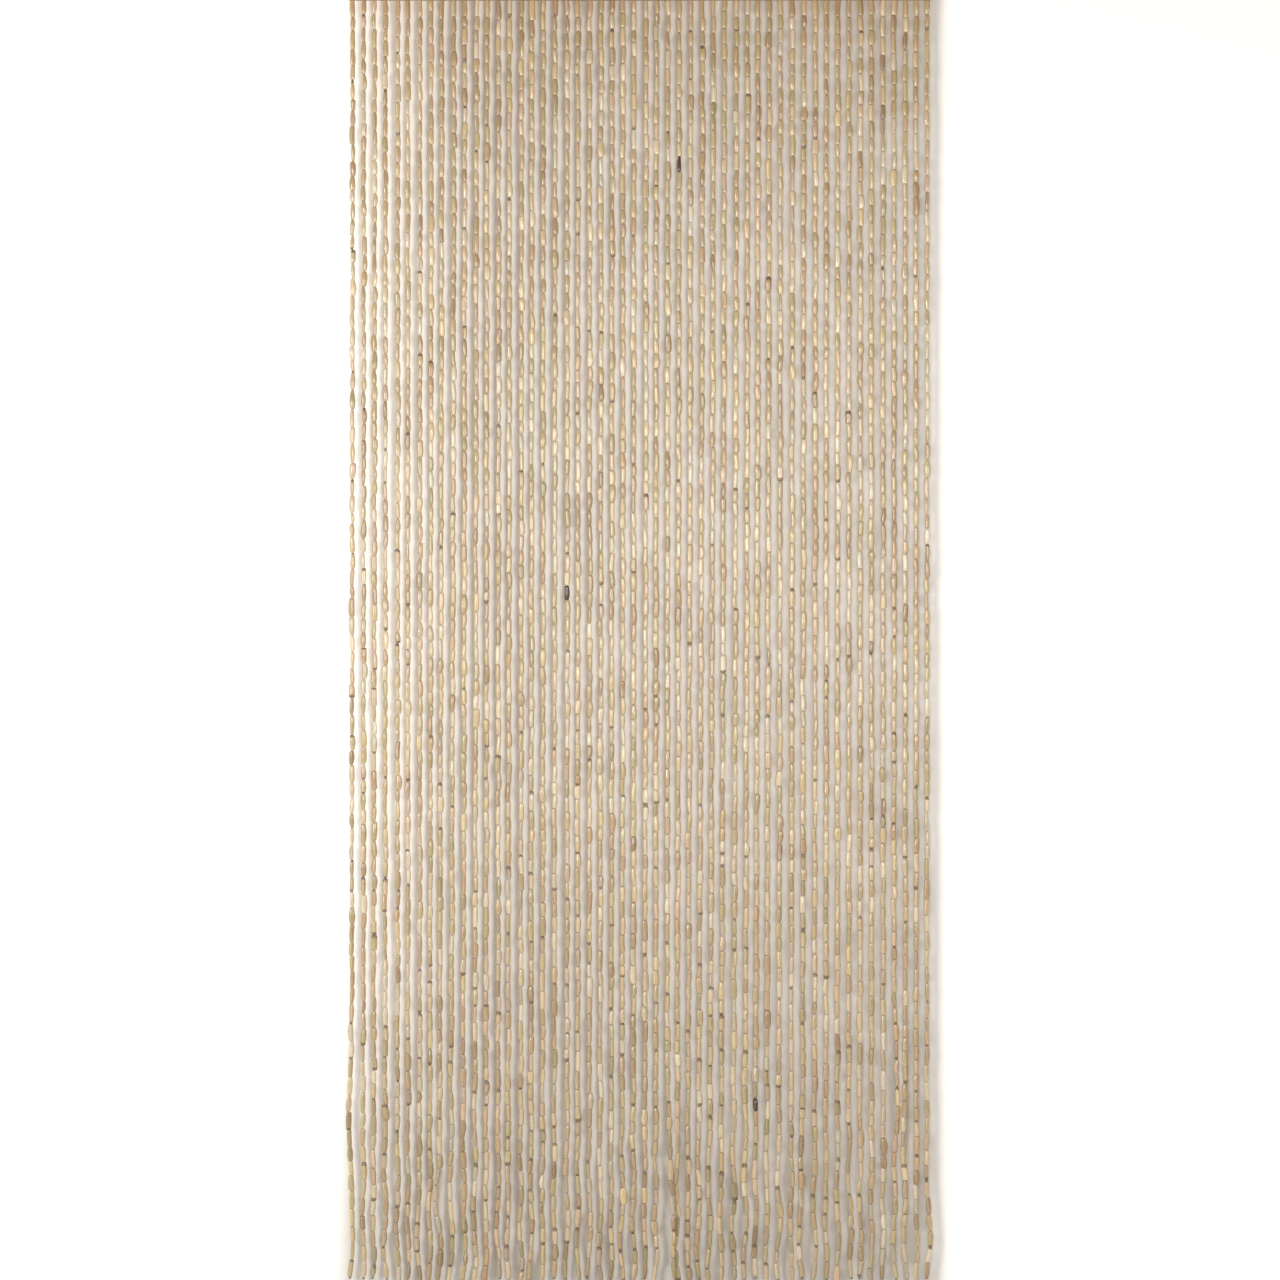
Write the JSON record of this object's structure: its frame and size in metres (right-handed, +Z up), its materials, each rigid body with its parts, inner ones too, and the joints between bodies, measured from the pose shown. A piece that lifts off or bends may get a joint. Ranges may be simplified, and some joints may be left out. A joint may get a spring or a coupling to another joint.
{
  "type": "bead curtain with heading rail",
  "caption": "Door curtain of long strands of slim wooden beads, tied side by side into a plain wooden heading rail.",
  "frame": {"origin": "middle of the heading rail's back face, where it lies against the wall or door frame", "axes": "+Z up, +Y out of the back of the rail into the wall, so the front looks along -Y; +X to the right as seen from the front"},
  "size_m": [0.9032, 0.0224, 2.0043],
  "materials": {
    "rail_wood": "planed, clear satin lacquer",
    "bead_wood": "turned light wood from cream to honey, lacquered",
    "thread": "thin twisted thread, matte"
  },
  "bodies": {
    "root": {"heading_rail": "rail_wood", "strand_comb": "bead_wood"}
  },
  "joints": []
}
